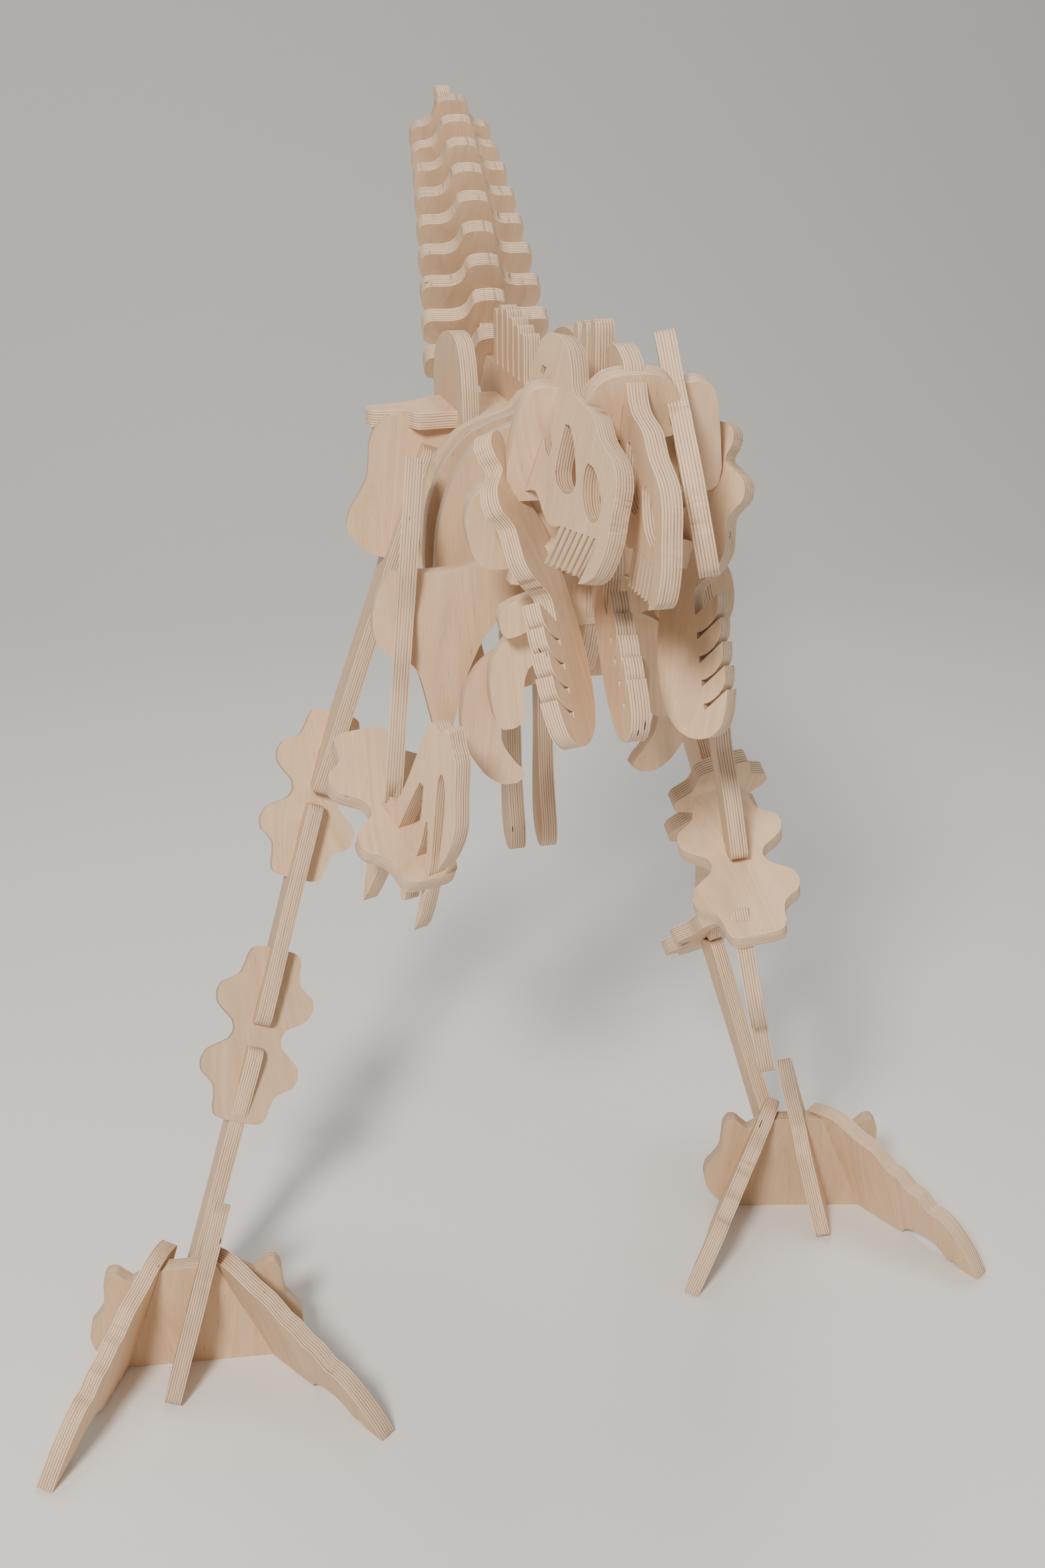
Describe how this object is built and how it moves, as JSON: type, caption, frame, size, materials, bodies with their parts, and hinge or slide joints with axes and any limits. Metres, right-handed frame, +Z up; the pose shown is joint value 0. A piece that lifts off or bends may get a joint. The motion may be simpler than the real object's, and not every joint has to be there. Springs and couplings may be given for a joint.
{
  "type": "slotted plywood dinosaur skeleton model",
  "caption": "Free-standing two-legged dinosaur skeleton made of flat plywood plates that cross in half-lap slots, with a ribbed tail, arched ribs, plate skull and splayed feet.",
  "frame": {"origin": "centre of the footprint of the whole skeleton, on the floor", "axes": "+X to the skeleton's left, +Y towards the tail, +Z up"},
  "size_m": [1.1188, 1.1336, 1.3342],
  "materials": {
    "birch_plywood": "bare sanded plywood"
  },
  "bodies": {
    "root": {"ankle_gear_left": "birch_plywood", "ankle_gear_right": "birch_plywood", "elbow_gear_left": "birch_plywood", "elbow_gear_right": "birch_plywood", "femur_left": "birch_plywood", "femur_right": "birch_plywood", "foot_cross_plate_left": "birch_plywood", "foot_cross_plate_right": "birch_plywood", "hand_left": "birch_plywood", "hand_right": "birch_plywood", "hip_plate_left": "birch_plywood", "hip_plate_right": "birch_plywood", "ilium_left": "birch_plywood", "ilium_right": "birch_plywood", "inner_toe_left": "birch_plywood", "inner_toe_right": "birch_plywood", "jaw_centre": "birch_plywood", "jaw_cross_plate": "birch_plywood", "jaw_left": "birch_plywood", "jaw_right": "birch_plywood", "knee_gear_left": "birch_plywood", "knee_gear_right": "birch_plywood", "middle_toe_left": "birch_plywood", "middle_toe_right": "birch_plywood", "outer_toe_left": "birch_plywood", "outer_toe_right": "birch_plywood", "pelvis_plate": "birch_plywood", "pubis_left": "birch_plywood", "pubis_right": "birch_plywood", "rib_1": "birch_plywood", "rib_2": "birch_plywood", "rib_3": "birch_plywood", "rib_4": "birch_plywood", "rib_5": "birch_plywood", "rib_6": "birch_plywood", "rib_7": "birch_plywood", "shank_left": "birch_plywood", "shank_right": "birch_plywood", "shoulder_plate": "birch_plywood", "skull_centre": "birch_plywood", "skull_cross_plate": "birch_plywood", "skull_crown_plate": "birch_plywood", "skull_left": "birch_plywood", "skull_right": "birch_plywood", "spine_plate": "birch_plywood", "tail_plate": "birch_plywood", "tail_vertebra_1": "birch_plywood", "tail_vertebra_2": "birch_plywood", "tail_vertebra_3": "birch_plywood", "tail_vertebra_4": "birch_plywood", "tail_vertebra_5": "birch_plywood", "tail_vertebra_6": "birch_plywood", "tail_vertebra_7": "birch_plywood", "tail_vertebra_8": "birch_plywood", "tail_vertebra_9": "birch_plywood", "tibia_left": "birch_plywood", "tibia_right": "birch_plywood", "upper_arm_left": "birch_plywood", "upper_arm_right": "birch_plywood"}
  },
  "joints": []
}
